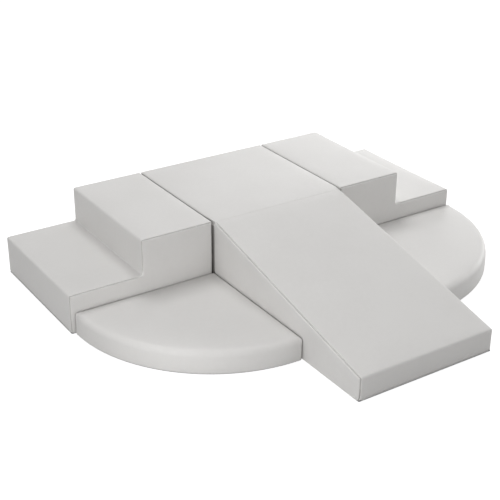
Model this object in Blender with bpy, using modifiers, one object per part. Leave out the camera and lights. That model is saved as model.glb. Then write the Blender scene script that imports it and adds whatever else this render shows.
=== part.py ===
"""Soft play foam climber: a platform block, a ramp, two step units and two corner mats.

Each of the six modules is a foam core in a sewn cover. A base panel closes the cover underneath
and carries a zip, and hook-and-loop strips hold neighbouring modules together.

Metres, +Z up. The origin is the centre of the block's underside. +X runs to the right along the
row of steps, block and steps, and the ramp falls towards -Y.
"""
import math
from dataclasses import dataclass

import bmesh
import bpy
from mathutils import Matrix, Vector

# Platform block
BLOCK_WIDTH = 0.600
BLOCK_DEPTH = 0.590
BLOCK_HEIGHT = 0.300

# Step units: an upper tread level with the block, and a lower tread
UPPER_TREAD = 0.304
LOWER_TREAD = 0.298
LOWER_HEIGHT = 0.156

# Ramp
RAMP_LENGTH = 0.9025
TOE_HEIGHT = 0.091

# Quarter-round corner mats: the right one reaches a little farther along its step unit
MAT_RADIUS = 0.588
RIGHT_MAT_REACH = 0.612
MAT_HEIGHT = 0.087
MAT_ARC_SEGMENTS = 22

# Gaps between standing modules
STEP_GAP = 0.005
RAMP_GAP = 0.0025
MAT_GAP = 0.004

# Rounding of the covers: sewn seams are tight, folds over the foam are softer
SHARP_ANGLE = math.radians(35)
SEAM_RADIUS = 0.005
FOLD_RADIUS = 0.012
TIGHT_RADIUS = 0.002
RIM_RADIUS = 0.014
MAT_CORNER_RADIUS = 0.012
RISER_FOOT_RADIUS = 0.006
ROUNDING_SEGMENTS = 3
ROUND_PROFILE_SHARE = 0.5

# Crown of a top face: each ring's size as a share of the one outside it, and its share of the rise
CROWN_HEIGHT = 0.003
CROWN_RING_SHARES = (0.80, 0.60)
CROWN_RISE_SHARES = (0.65, 0.35)

# Cover, and the clearances that touching pieces keep
COVER_WALL = 0.0012
FIT_CLEARANCE = 0.0003
FOAM_CLEARANCE = 0.0006
HEM_LIFT = 0.0005
CUT_OVERRUN = 0.01

# Base panel, with the slot and the turned-in lips that the zip is sewn to
BASE_THICKNESS = 0.0015
SLOT_WIDTH = 0.014
LIP_HEIGHT = 0.008
LIP_WALL = 0.0015
ZIP_SETBACK = 0.070
ZIP_END_MARGIN = 0.050

# Zip: tape, row of teeth, slider and pull
TAPE_THICKNESS = 0.001
CHAIN_WIDTH = 0.006
CHAIN_DEPTH = 0.0022
SLIDER_LENGTH = 0.012
SLIDER_WALL = 0.0015
SLIDER_PLATE = 0.0012
BAIL_LENGTH = 0.0053
BAIL_WIDTH = 0.0018
BAIL_BAR = 0.0008
BAIL_OPENING_LENGTH = 0.0035
BAIL_OPENING_DEPTH = 0.0015
PULL_THICKNESS = 0.0009
PULL_WIDTH = 0.006
PULL_REACH = 0.020
PULL_WINDOW_LENGTH = 0.004
PULL_WINDOW_WIDTH = 0.0028
PULL_CORNER_RADIUS = 0.0015
PULL_CORNER_SEGMENTS = 3
ZIP_END_CLEARANCE = 0.003

# Hook-and-loop strips
STRIP_LENGTH = 0.400
STRIP_WIDTH = 0.050
STRIP_DROP = 0.100
MAT_STRIP_LENGTH = 0.300
MAT_STRIP_WIDTH = 0.038
STRIP_CORNER_RADIUS = 0.006
STRIP_CORNER_SEGMENTS = 2

# Finishes: colour, roughness and metallic value
FINISHES = {
    "cover leather": ((0.69, 0.68, 0.665), 0.52, 0.0),
    "foam": ((0.88, 0.88, 0.86), 0.90, 0.0),
    "base fabric": ((0.33, 0.33, 0.34), 0.85, 0.0),
    "zip tape": ((0.58, 0.57, 0.56), 0.80, 0.0),
    "zip metal": ((0.72, 0.71, 0.70), 0.28, 1.0),
    "hook tape": ((0.74, 0.73, 0.72), 0.85, 0.0),
    "loop tape": ((0.70, 0.69, 0.68), 0.95, 0.0),
}
LEFT = -1
RIGHT = 1


@dataclass
class Form:
    """A module's outer shape: an outline in (u, v), run along w between its two caps.

    Edge i of the outline runs from point i to point i + 1. A radius of zero leaves an edge sharp.
    """

    outline: list
    start: float
    end: float
    place: object
    corner_radii: list
    start_radii: list
    end_radii: list
    crowned_edges: tuple = ()
    crowned_end: bool = False
    floor_edge: int | None = 0
    hollow_corners: tuple = ()


def clear_scene():
    for existing in list(bpy.data.objects):
        bpy.data.objects.remove(existing, do_unlink=True)


def new_collection(name):
    collection = bpy.data.collections.new(name)
    bpy.context.scene.collection.children.link(collection)
    return collection


def new_material(name):
    colour, roughness, metallic = FINISHES[name]
    material = bpy.data.materials.new(name)
    material.use_nodes = True
    material.diffuse_color = (*colour, 1)
    shader = material.node_tree.nodes["Principled BSDF"]
    shader.inputs["Base Color"].default_value = (*colour, 1)
    shader.inputs["Roughness"].default_value = roughness
    shader.inputs["Metallic"].default_value = metallic
    return material


clear_scene()
PARTS = new_collection("soft_play_foam_climber")
CUTTERS = new_collection("cutters")
MATERIALS = {name: new_material(name) for name in FINISHES}


def add_object(name, shape, parent, finish):
    """Makes one named sub-part from a bmesh, in its parent's frame."""
    mesh = bpy.data.meshes.new(name)
    shape.to_mesh(mesh)
    shape.free()
    mesh.materials.append(MATERIALS[finish])
    mesh.shade_smooth()
    mesh.set_sharp_from_angle(angle=SHARP_ANGLE)
    part = bpy.data.objects.new(name, mesh)
    part.parent = parent
    PARTS.objects.link(part)
    return part


def add_cutter(name, shape, parent):
    mesh = bpy.data.meshes.new(name)
    shape.to_mesh(mesh)
    shape.free()
    cutter = bpy.data.objects.new(name, mesh)
    cutter.parent = parent
    cutter.hide_render = True
    cutter.display_type = "WIRE"
    CUTTERS.objects.link(cutter)
    return cutter


def combine(part, tool, operation):
    """Cuts the tool away from the part with DIFFERENCE, or joins it on with UNION."""
    modifier = part.modifiers.new(tool.name, "BOOLEAN")
    modifier.operation = operation
    modifier.object = tool
    modifier.solver = "EXACT"


def round_edges(part, width):
    """Rounds the edges that carry a weight, each to its share of the width."""
    modifier = part.modifiers.new("rounded edges", "BEVEL")
    modifier.limit_method = "WEIGHT"
    modifier.width = width
    modifier.segments = ROUNDING_SEGMENTS


def box(low, high):
    """A box between two opposite corners."""
    shape = bmesh.new()
    bmesh.ops.create_cube(shape, size=1)
    size = Vector(high) - Vector(low)
    middle = (Vector(high) + Vector(low)) / 2
    bmesh.ops.transform(shape, matrix=Matrix.LocRotScale(middle, None, size), verts=shape.verts)
    return shape


def rounded_plate(low, high, thin_axis, radius, segments):
    """A flat box whose four edges along its thin axis are rounded."""
    shape = box(low, high)
    edges = []
    for edge in shape.edges:
        one, other = edge.verts
        if one.co[thin_axis] != other.co[thin_axis]:
            edges.append(edge)
    bmesh.ops.bevel(
        shape, geom=edges, offset=radius, segments=segments, profile=ROUND_PROFILE_SHARE, affect="EDGES"
    )
    return shape


def shrink_outline(outline, insets):
    """Moves each edge of an anticlockwise outline inwards by its own inset."""
    count = len(outline)
    lines = []
    for index, inset in enumerate(insets):
        first = Vector(outline[index])
        run = (Vector(outline[(index + 1) % count]) - first).normalized()
        inward = Vector((-run.y, run.x))
        lines.append((first + inward * inset, run))
    shrunk = []
    for index in range(count):
        before, run_before = lines[index - 1]
        after, run_after = lines[index]
        across = run_before.x * run_after.y - run_before.y * run_after.x
        step = after - before
        along = (step.x * run_after.y - step.y * run_after.x) / across
        shrunk.append(before + run_before * along)
    return shrunk


def face_outwards(shape):
    """Turns the faces of a closed shape outwards."""
    shape.normal_update()
    bmesh.ops.recalc_face_normals(shape, faces=shape.faces)
    if shape.calc_volume(signed=True) < 0:
        bmesh.ops.reverse_faces(shape, faces=shape.faces)


def raise_crown(shape, face):
    """Draws ring after ring inside a top face, each a little higher, and returns their vertices."""
    raised = set()
    outward = face.normal.copy()
    for ring_share, rise_share in zip(CROWN_RING_SHARES, CROWN_RISE_SHARES):
        bmesh.ops.inset_individual(shape, faces=[face], thickness=0)
        centre = face.calc_center_median_weighted()
        for vertex in face.verts:
            vertex.co = centre + (vertex.co - centre) * ring_share + outward * rise_share * CROWN_HEIGHT
        raised.update(face.verts)
    return raised


def form_shape(form, inset, floor_inset):
    """The form, shrunk by inset on every face, with its underside raised by floor_inset.

    Returns the mesh, with the rounding of each edge as a share of the widest radius, and that radius.
    """
    count = len(form.outline)
    insets = [inset] * count
    start = form.start + inset
    end = form.end - inset
    if form.floor_edge is None:
        start = form.start + floor_inset
    else:
        insets[form.floor_edge] = floor_inset
    points = shrink_outline(form.outline, insets)

    shape = bmesh.new()
    corner = shape.verts.layers.int.new("corner")
    cap = shape.verts.layers.int.new("cap")
    weight = shape.edges.layers.float.new("bevel_weight_edge")
    first = [shape.verts.new((u, v, start)) for u, v in points]
    for index, vertex in enumerate(first):
        vertex[corner] = index
    base = shape.faces.new(first)
    result = bmesh.ops.extrude_face_region(shape, geom=[base])
    for vertex in result["geom"]:
        if isinstance(vertex, bmesh.types.BMVert):
            vertex.co.z = end
            vertex[cap] = 1
    face_outwards(shape)

    crowned = []
    for face in shape.faces:
        corners = {vertex[corner] for vertex in face.verts}
        caps = {vertex[cap] for vertex in face.verts}
        if form.crowned_end and caps == {1}:
            crowned.append(face)
        for edge_index in form.crowned_edges:
            if corners == {edge_index, (edge_index + 1) % count}:
                crowned.append(face)
    raised = set()
    for face in crowned:
        raised |= raise_crown(shape, face)

    radii = {}
    for edge in shape.edges:
        one, other = edge.verts
        if one in raised or other in raised:
            continue
        low = min(one[corner], other[corner])
        high = max(one[corner], other[corner])
        if low == high:
            hollow = low in form.hollow_corners
            radius = form.corner_radii[low]
            change = inset if hollow else -inset
        else:
            edge_index = high if low == 0 and high == count - 1 else low
            radius = (form.end_radii if one[cap] else form.start_radii)[edge_index]
            change = -inset
        radii[edge] = max(radius + change, 0) if radius > 0 else 0
    widest = max(radii.values())
    for edge in shape.edges:
        edge[weight] = radii.get(edge, 0) / widest

    for vertex in shape.verts:
        vertex.co = form.place(*vertex.co)
    face_outwards(shape)
    return shape, widest


@dataclass
class ZipRun:
    """The zip's slot in a base panel: its outer end, its direction along X, its length and its Y."""

    outer_end: float
    direction: int
    length: float
    y: float

    def box(self, from_end, to_end, half_width, low, high):
        """A box along the zip, between two distances from the slot's outer end."""
        ends = sorted(self.outer_end + self.direction * distance for distance in (from_end, to_end))
        return box((ends[0], self.y - half_width, low), (ends[1], self.y + half_width, high))


TAPE_LEVEL = LIP_HEIGHT + FIT_CLEARANCE
CHAIN_LEVEL = TAPE_LEVEL - CHAIN_DEPTH
SLIDER_LEVEL = CHAIN_LEVEL - FIT_CLEARANCE - SLIDER_PLATE
HINGE_LEVEL = SLIDER_LEVEL - BAIL_OPENING_DEPTH / 2
FRAME_HALF_WIDTH = SLOT_WIDTH / 2 + LIP_WALL
PULL_ROOM = PULL_REACH - SLIDER_LENGTH / 2 + ZIP_END_CLEARANCE


def add_foam_and_cover(name, form, zip_run, parent):
    """The foam core with a groove for the zip, and the cover that is open below."""
    core_shape, core_radius = form_shape(form, COVER_WALL + FOAM_CLEARANCE, BASE_THICKNESS + FIT_CLEARANCE)
    core = add_object(f"{name}_foam_core", core_shape, parent, "foam")
    round_edges(core, core_radius)
    groove = zip_run.box(
        -LIP_WALL - FIT_CLEARANCE,
        zip_run.length + LIP_WALL + FIT_CLEARANCE,
        FRAME_HALF_WIDTH + FIT_CLEARANCE,
        -CUT_OVERRUN,
        TAPE_LEVEL + TAPE_THICKNESS + FIT_CLEARANCE,
    )
    combine(core, add_cutter(f"{name}_zip_groove", groove, parent), "DIFFERENCE")

    cover_shape, cover_radius = form_shape(form, 0, HEM_LIFT)
    cover = add_object(f"{name}_cover", cover_shape, parent, "cover leather")
    round_edges(cover, cover_radius)
    inside_shape, inside_radius = form_shape(form, COVER_WALL, -CUT_OVERRUN)
    inside = add_cutter(f"{name}_cover_inside", inside_shape, parent)
    round_edges(inside, inside_radius)
    combine(cover, inside, "DIFFERENCE")


def add_base_panel(name, footprint, zip_run, parent):
    """The panel that closes the cover below, with a slot whose lips turn up to the zip's tape."""
    shape, radius = form_shape(footprint, COVER_WALL + FIT_CLEARANCE, 0)
    panel = add_object(f"{name}_base_panel", shape, parent, "base fabric")
    round_edges(panel, radius)
    lips = zip_run.box(-LIP_WALL, zip_run.length + LIP_WALL, FRAME_HALF_WIDTH, BASE_THICKNESS / 2, LIP_HEIGHT)
    slot = zip_run.box(0, zip_run.length, SLOT_WIDTH / 2, -CUT_OVERRUN, LIP_HEIGHT + CUT_OVERRUN)
    combine(panel, add_cutter(f"{name}_slot_lips", lips, parent), "UNION")
    combine(panel, add_cutter(f"{name}_slot", slot, parent), "DIFFERENCE")


def add_zip(name, zip_run, parent):
    """The tape with its row of teeth."""
    tape_shape = zip_run.box(
        -LIP_WALL, zip_run.length + LIP_WALL, FRAME_HALF_WIDTH, TAPE_LEVEL, TAPE_LEVEL + TAPE_THICKNESS
    )
    tape = add_object(f"{name}_zip", tape_shape, parent, "zip tape")
    chain = zip_run.box(
        PULL_ROOM, zip_run.length - PULL_ROOM, CHAIN_WIDTH / 2, CHAIN_LEVEL, TAPE_LEVEL + TAPE_THICKNESS / 2
    )
    combine(tape, add_cutter(f"{name}_zip_teeth", chain, parent), "UNION")


def add_slider_and_pull(name, zip_run, parent):
    """The slider that runs along the teeth, and the pull that swings in its bail."""
    slider_x = zip_run.outer_end + zip_run.direction * (PULL_ROOM + SLIDER_LENGTH / 2)
    half_length = SLIDER_LENGTH / 2
    inner_half = CHAIN_WIDTH / 2 + FIT_CLEARANCE
    outer_half = inner_half + SLIDER_WALL
    top = TAPE_LEVEL - FIT_CLEARANCE - HINGE_LEVEL
    plate_low = SLIDER_LEVEL - HINGE_LEVEL
    channel_low = CHAIN_LEVEL - FIT_CLEARANCE - HINGE_LEVEL

    body = box((-half_length, -outer_half, plate_low), (half_length, outer_half, top))
    slider = add_object(f"{name}_zip_slider", body, parent, "zip metal")
    slider.location = (slider_x, zip_run.y, HINGE_LEVEL)
    channel = box(
        (-half_length - CUT_OVERRUN, -inner_half, channel_low),
        (half_length + CUT_OVERRUN, inner_half, top + CUT_OVERRUN),
    )
    bail_low = plate_low - BAIL_OPENING_DEPTH - BAIL_BAR
    bail = box(
        (-BAIL_LENGTH / 2, -BAIL_WIDTH / 2, bail_low),
        (BAIL_LENGTH / 2, BAIL_WIDTH / 2, plate_low + SLIDER_PLATE / 2),
    )
    opening = box(
        (-BAIL_OPENING_LENGTH / 2, -BAIL_WIDTH, plate_low - BAIL_OPENING_DEPTH),
        (BAIL_OPENING_LENGTH / 2, BAIL_WIDTH, plate_low),
    )
    combine(slider, add_cutter(f"{name}_slider_channel", channel, slider), "DIFFERENCE")
    combine(slider, add_cutter(f"{name}_slider_bail", bail, slider), "UNION")
    combine(slider, add_cutter(f"{name}_bail_opening", opening, slider), "DIFFERENCE")

    half_bar = PULL_THICKNESS / 2
    tab = rounded_plate(
        (-half_bar, -PULL_WIDTH / 2, -half_bar),
        (PULL_REACH, PULL_WIDTH / 2, half_bar),
        2,
        PULL_CORNER_RADIUS,
        PULL_CORNER_SEGMENTS,
    )
    window = box(
        (half_bar, -PULL_WINDOW_WIDTH / 2, -half_bar - CUT_OVERRUN),
        (half_bar + PULL_WINDOW_LENGTH, PULL_WINDOW_WIDTH / 2, half_bar + CUT_OVERRUN),
    )
    pull = add_object(f"{name}_zip_pull", tab, slider, "zip metal")
    if zip_run.direction < 0:
        pull.rotation_euler.z = math.pi
    combine(pull, add_cutter(f"{name}_pull_window", window, pull), "DIFFERENCE")


def add_strip(name, face_at, outward, centre, length, width, gap, parent, finish):
    """Half of a hook-and-loop pair on a module's face, filling its half of the gap.

    outward is the face's axis, 0 for X or 1 for Y, and its sign. centre is the strip's middle
    along the face and its height. The pair keeps a clearance to each face and one in its middle.
    """
    axis, sign = outward
    thickness = (gap - FIT_CLEARANCE) / 2 - FIT_CLEARANCE
    inner = face_at + sign * FIT_CLEARANCE
    outer = inner + sign * thickness
    along = 1 - axis
    low = [0, 0, centre[1] - width / 2]
    high = [0, 0, centre[1] + width / 2]
    low[axis], high[axis] = min(inner, outer), max(inner, outer)
    low[along], high[along] = centre[0] - length / 2, centre[0] + length / 2
    shape = rounded_plate(low, high, axis, STRIP_CORNER_RADIUS, STRIP_CORNER_SEGMENTS)
    return add_object(name, shape, parent, finish)


def rectangle_footprint(low_x, high_x, low_y, high_y):
    """The underside of a module with a rectangular plan."""
    return Form(
        outline=[(low_x, low_y), (high_x, low_y), (high_x, high_y), (low_x, high_y)],
        start=0,
        end=BASE_THICKNESS + COVER_WALL + FIT_CLEARANCE,
        place=lambda u, v, w: Vector((u, v, w)),
        corner_radii=[SEAM_RADIUS] * 4,
        start_radii=[0] * 4,
        end_radii=[0] * 4,
        floor_edge=None,
    )


def add_frame(name, location):
    """An empty that carries one module and marks its reference point."""
    frame = bpy.data.objects.new(f"{name}_frame", None)
    frame.empty_display_size = LIP_HEIGHT
    frame.location = location
    PARTS.objects.link(frame)
    return frame


def finish_module(name, form, footprint, zip_run, frame):
    add_foam_and_cover(name, form, zip_run, frame)
    add_base_panel(name, footprint, zip_run, frame)
    add_zip(name, zip_run, frame)
    add_slider_and_pull(name, zip_run, frame)


def add_block():
    half_width = BLOCK_WIDTH / 2
    half_depth = BLOCK_DEPTH / 2
    form = Form(
        outline=[(-half_width, 0), (half_width, 0), (half_width, BLOCK_HEIGHT), (-half_width, BLOCK_HEIGHT)],
        start=-half_depth,
        end=half_depth,
        place=lambda u, v, w: Vector((u, w, v)),
        corner_radii=[0, 0, SEAM_RADIUS, SEAM_RADIUS],
        start_radii=[0, SEAM_RADIUS, TIGHT_RADIUS, SEAM_RADIUS],
        end_radii=[0, SEAM_RADIUS, SEAM_RADIUS, SEAM_RADIUS],
        crowned_edges=(2,),
    )
    footprint = rectangle_footprint(-half_width, half_width, -half_depth, half_depth)
    zip_run = ZipRun(
        outer_end=-half_width + ZIP_END_MARGIN,
        direction=1,
        length=BLOCK_WIDTH - 2 * ZIP_END_MARGIN,
        y=half_depth - ZIP_SETBACK,
    )
    frame = add_frame("block", (0, 0, 0))
    finish_module("block", form, footprint, zip_run, frame)
    strip_level = BLOCK_HEIGHT - STRIP_DROP
    for side, word in ((LEFT, "left"), (RIGHT, "right")):
        add_strip(f"block_hook_strip_{word}", side * half_width, (0, side), (0, strip_level),
                  STRIP_LENGTH, STRIP_WIDTH, STEP_GAP, frame, "hook tape")
    add_strip("block_hook_strip_front", -half_depth, (1, -1), (0, strip_level),
              STRIP_LENGTH, STRIP_WIDTH, RAMP_GAP, frame, "hook tape")


def add_step_unit(name, side):
    length = UPPER_TREAD + LOWER_TREAD
    half_depth = BLOCK_DEPTH / 2
    form = Form(
        outline=[
            (0, 0),
            (length, 0),
            (length, LOWER_HEIGHT),
            (UPPER_TREAD, LOWER_HEIGHT),
            (UPPER_TREAD, BLOCK_HEIGHT),
            (0, BLOCK_HEIGHT),
        ],
        start=-half_depth,
        end=half_depth,
        place=lambda u, v, w: Vector((side * u, w, v)),
        corner_radii=[0, 0, FOLD_RADIUS, RISER_FOOT_RADIUS, FOLD_RADIUS, SEAM_RADIUS],
        start_radii=[0] + [SEAM_RADIUS] * 5,
        end_radii=[0] + [SEAM_RADIUS] * 5,
        crowned_edges=(2, 4),
        hollow_corners=(3,),
    )
    ends = sorted((0, side * length))
    footprint = rectangle_footprint(ends[0], ends[1], -half_depth, half_depth)
    zip_run = ZipRun(
        outer_end=side * (length - ZIP_END_MARGIN),
        direction=-side,
        length=length - 2 * ZIP_END_MARGIN,
        y=half_depth - ZIP_SETBACK,
    )
    frame = add_frame(name, (side * (BLOCK_WIDTH / 2 + STEP_GAP), 0, 0))
    finish_module(name, form, footprint, zip_run, frame)
    add_strip(f"{name}_loop_strip_inner", 0, (0, -side), (0, BLOCK_HEIGHT - STRIP_DROP),
              STRIP_LENGTH, STRIP_WIDTH, STEP_GAP, frame, "loop tape")
    middle = side * (MAT_GAP - STEP_GAP + MAT_RADIUS / 2)
    add_strip(f"{name}_loop_strip_front", -half_depth, (1, -1), (middle, MAT_HEIGHT / 2),
              MAT_STRIP_LENGTH, MAT_STRIP_WIDTH, MAT_GAP, frame, "loop tape")


def add_ramp():
    half_width = BLOCK_WIDTH / 2
    form = Form(
        outline=[(0, 0), (RAMP_LENGTH, 0), (RAMP_LENGTH, TOE_HEIGHT), (0, BLOCK_HEIGHT)],
        start=-half_width,
        end=half_width,
        place=lambda u, v, w: Vector((w, -u, v)),
        corner_radii=[0, 0, FOLD_RADIUS, TIGHT_RADIUS],
        start_radii=[0] + [SEAM_RADIUS] * 3,
        end_radii=[0] + [SEAM_RADIUS] * 3,
        crowned_edges=(2,),
    )
    footprint = rectangle_footprint(-half_width, half_width, -RAMP_LENGTH, 0)
    zip_run = ZipRun(
        outer_end=-half_width + ZIP_END_MARGIN,
        direction=1,
        length=BLOCK_WIDTH - 2 * ZIP_END_MARGIN,
        y=-ZIP_SETBACK,
    )
    frame = add_frame("ramp", (0, -BLOCK_DEPTH / 2 - RAMP_GAP, 0))
    finish_module("ramp", form, footprint, zip_run, frame)
    add_strip("ramp_loop_strip_rear", 0, (1, 1), (0, BLOCK_HEIGHT - STRIP_DROP),
              STRIP_LENGTH, STRIP_WIDTH, RAMP_GAP, frame, "loop tape")
    middle = RAMP_GAP - MAT_GAP - MAT_RADIUS / 2
    for side, word in ((LEFT, "left"), (RIGHT, "right")):
        add_strip(f"ramp_loop_strip_{word}", side * half_width, (0, side), (middle, MAT_HEIGHT / 2),
                  MAT_STRIP_LENGTH, MAT_STRIP_WIDTH, MAT_GAP, frame, "loop tape")


def add_corner_mat(name, side, reach):
    """A quarter-round mat: reach is its length along the step unit, its radius the one along the ramp."""
    arc = []
    for step in range(MAT_ARC_SEGMENTS + 1):
        angle = math.pi / 2 * step / MAT_ARC_SEGMENTS
        arc.append((reach * math.cos(angle), MAT_RADIUS * math.sin(angle)))
    outline = [(0, 0)] + arc
    smooth_points = [0] * (MAT_ARC_SEGMENTS - 1)
    corners = [MAT_CORNER_RADIUS, MAT_CORNER_RADIUS] + smooth_points + [MAT_CORNER_RADIUS]
    top_radii = [SEAM_RADIUS] + [RIM_RADIUS] * MAT_ARC_SEGMENTS + [SEAM_RADIUS]
    form = Form(
        outline=outline,
        start=0,
        end=MAT_HEIGHT,
        place=lambda u, v, w: Vector((side * u, -v, w)),
        corner_radii=corners,
        start_radii=[0] * len(outline),
        end_radii=top_radii,
        crowned_end=True,
        floor_edge=None,
    )
    footprint = Form(
        outline=outline,
        start=0,
        end=BASE_THICKNESS + COVER_WALL + FIT_CLEARANCE,
        place=form.place,
        corner_radii=corners,
        start_radii=[0] * len(outline),
        end_radii=[0] * len(outline),
        floor_edge=None,
    )
    zip_run = ZipRun(
        outer_end=side * (reach - ZIP_END_MARGIN),
        direction=-side,
        length=reach - 2 * ZIP_END_MARGIN,
        y=-ZIP_SETBACK,
    )
    frame = add_frame(name, (side * (BLOCK_WIDTH / 2 + MAT_GAP), -BLOCK_DEPTH / 2 - MAT_GAP, 0))
    finish_module(name, form, footprint, zip_run, frame)
    add_strip(f"{name}_hook_strip_rear", 0, (1, 1), (side * MAT_RADIUS / 2, MAT_HEIGHT / 2),
              MAT_STRIP_LENGTH, MAT_STRIP_WIDTH, MAT_GAP, frame, "hook tape")
    add_strip(f"{name}_hook_strip_side", 0, (0, -side), (-MAT_RADIUS / 2, MAT_HEIGHT / 2),
              MAT_STRIP_LENGTH, MAT_STRIP_WIDTH, MAT_GAP, frame, "hook tape")


add_block()
add_step_unit("left_step", LEFT)
add_step_unit("right_step", RIGHT)
add_ramp()
add_corner_mat("left_mat", LEFT, MAT_RADIUS)
add_corner_mat("right_mat", RIGHT, RIGHT_MAT_REACH)
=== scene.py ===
"""Soft play foam climber: a block, a ramp, two step units and two corner mats in sewn covers."""

import math
from dataclasses import dataclass

import bmesh
import bpy
import numpy as np
from mathutils import Matrix, Vector, geometry


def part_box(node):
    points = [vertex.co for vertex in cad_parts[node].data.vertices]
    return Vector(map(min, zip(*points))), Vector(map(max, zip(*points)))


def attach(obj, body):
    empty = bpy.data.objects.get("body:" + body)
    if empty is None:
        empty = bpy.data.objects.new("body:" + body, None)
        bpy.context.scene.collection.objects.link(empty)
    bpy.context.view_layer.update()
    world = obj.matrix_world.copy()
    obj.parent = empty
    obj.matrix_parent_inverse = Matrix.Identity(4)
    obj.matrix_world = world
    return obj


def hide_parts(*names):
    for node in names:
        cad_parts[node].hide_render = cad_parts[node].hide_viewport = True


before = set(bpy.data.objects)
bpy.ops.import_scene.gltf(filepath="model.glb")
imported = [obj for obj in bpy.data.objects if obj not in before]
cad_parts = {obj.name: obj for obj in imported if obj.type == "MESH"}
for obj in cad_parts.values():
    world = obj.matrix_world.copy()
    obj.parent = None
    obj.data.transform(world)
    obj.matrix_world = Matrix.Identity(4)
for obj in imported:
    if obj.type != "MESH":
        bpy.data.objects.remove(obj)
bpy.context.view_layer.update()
scene = bpy.context.scene
scene.view_settings.view_transform = "Standard"

# Camera
# It stands in front of the set and to its left, above an adult's eye height, and looks down along
# the ramp's side through a long lens, as the photograph does.
CAMERA_PLACE = Vector((-2.2498, -3.5001, 2.0465))
CAMERA_YAW = 0.5833
CAMERA_PITCH = 0.4616
CAMERA_ROLL = 0.0073
CAMERA_LENS = 78.7

camera = bpy.data.objects.new("camera", bpy.data.cameras.new("camera"))
ahead = Vector((
    math.sin(CAMERA_YAW) * math.cos(CAMERA_PITCH),
    math.cos(CAMERA_YAW) * math.cos(CAMERA_PITCH),
    -math.sin(CAMERA_PITCH),
))
turned = ahead.to_track_quat("-Z", "Y").to_matrix() @ Matrix.Rotation(CAMERA_ROLL, 3, "Z")
camera.matrix_world = Matrix.Translation(CAMERA_PLACE) @ turned.to_4x4()
camera.data.lens = CAMERA_LENS
scene.collection.objects.link(camera)
scene.camera = camera


# Platform block cover
# Pale grey coated fabric, cut as one long band and two end panels. The panels are sewn to the
# band from inside, so each seam is a narrow groove beside the panel's small round welt.
CROWN = 0.003
HEM_LIFT = 0.0005
BLOCK_FOLD = 0.006
SHARPEST_FOLD = 0.0006
FOLD_STEPS = 5
PANEL_STEP = 0.020
PANEL_CLEAR_SHARE = 0.6
LONG_RUN = 9.0
SNAP = 1e-7
NO_LENGTH = 1e-12

# Each point is a depth behind the end panel and an inset from the band, in metres.
SEAM_ROLL = [
    (0.0220, 0.0000),
    (0.0140, 0.0001),
    (0.0096, 0.0003),
    (0.0074, 0.0009),
    (0.0066, 0.0020),
    (0.0078, 0.0050),
    (0.0040, 0.0040),
    (0.0026, 0.0044),
    (0.0014, 0.0057),
    (0.0006, 0.0082),
    (0.0002, 0.0140),
    (0.0001, 0.0260),
    (0.0000, 0.0400),
]
GROOVE_AT = 5
SEAM_REACH = 6
FLOOR_SHARE = 0.05

# Where the block meets the ramp no seam shows: both tops bend down softly to their common edge.
# The block's upright edges there are rounder, and a dark tint painted on them stands in for the
# shade in the gaps beside the ramp.
JOINT_BEND = [
    (0.0350, 0.0000),
    (0.0260, 0.0001),
    (0.0175, 0.0005),
    (0.0080, 0.0012),
    (0.0020, 0.0018),
    (0.0004, 0.0020),
    (0.0000, 0.0024),
    (0.0000, 0.0040),
    (0.0000, 0.0120),
]
JOINT_SIDE_SHARE = 3


@dataclass
class Sewing:
    """How a band meets an end panel: the panel's place, its roll, and its share at each edge."""

    at: float
    roll: list
    shares: list

    @property
    def has_groove(self):
        return self.roll is SEAM_ROLL


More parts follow.
